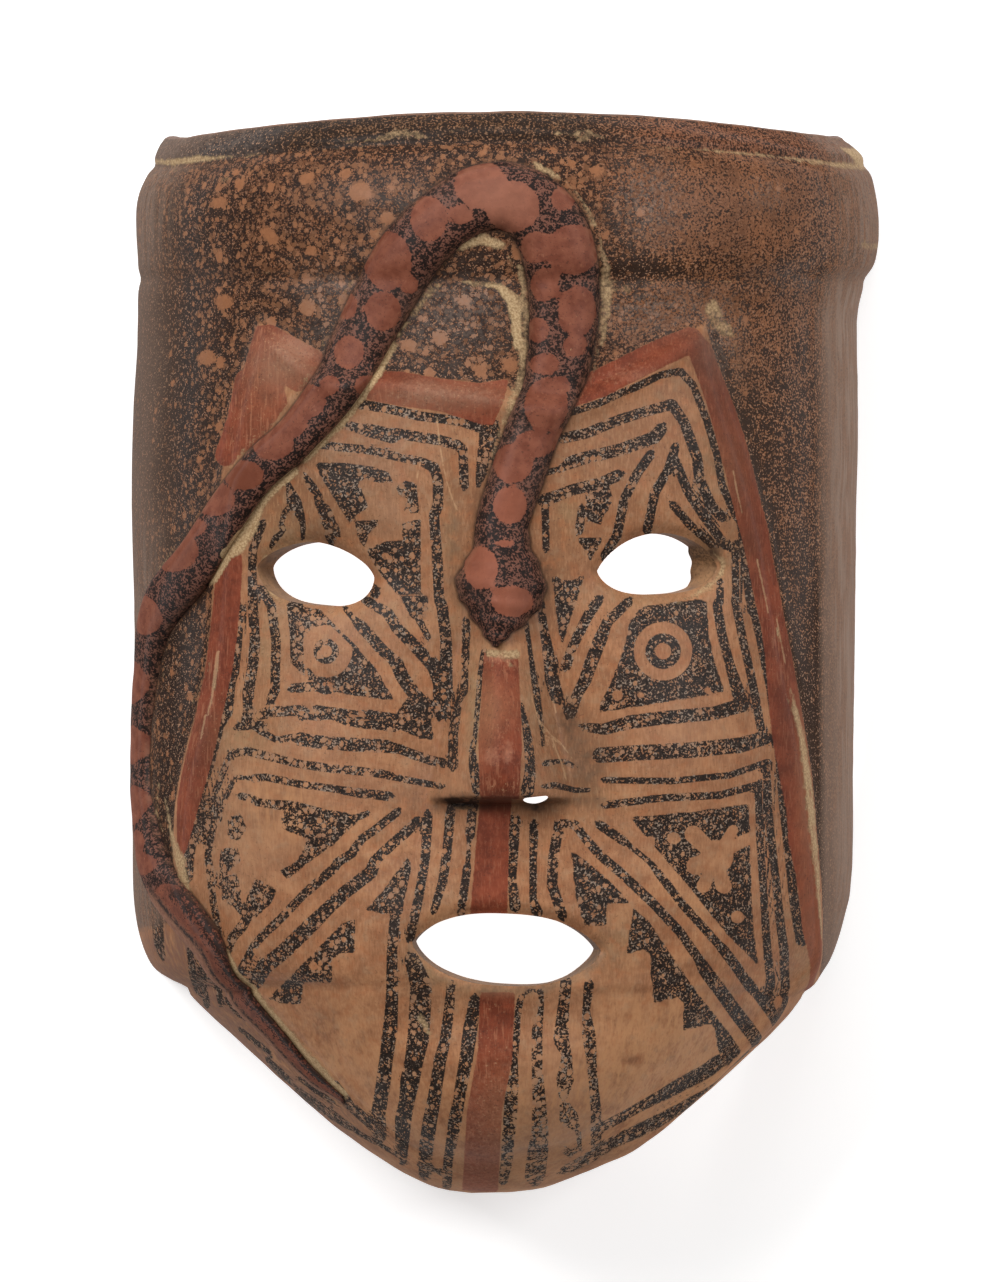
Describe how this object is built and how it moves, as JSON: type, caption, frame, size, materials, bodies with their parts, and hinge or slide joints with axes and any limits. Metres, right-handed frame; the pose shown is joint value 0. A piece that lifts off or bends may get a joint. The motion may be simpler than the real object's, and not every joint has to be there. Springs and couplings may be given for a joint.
{
  "type": "painted pottery mask",
  "caption": "Hollow half-round pottery mask with cut-through eyes and mouth, a wedge nose, a rolled neck band and a flat snake laid over the forehead, painted in stripes.",
  "frame": {"origin": "under the middle of the mask's bounding box, on the plane of the flat rims of its side walls", "axes": "+Z out of the face, +Y to the top of the mask, +X to the right seen from the front"},
  "size_m": [0.1768, 0.249, 0.1194],
  "materials": {
    "painted_clay": "burnished slip, painted tan, black and red, worn"
  },
  "bodies": {
    "root": {"mask": "painted_clay"}
  },
  "joints": []
}
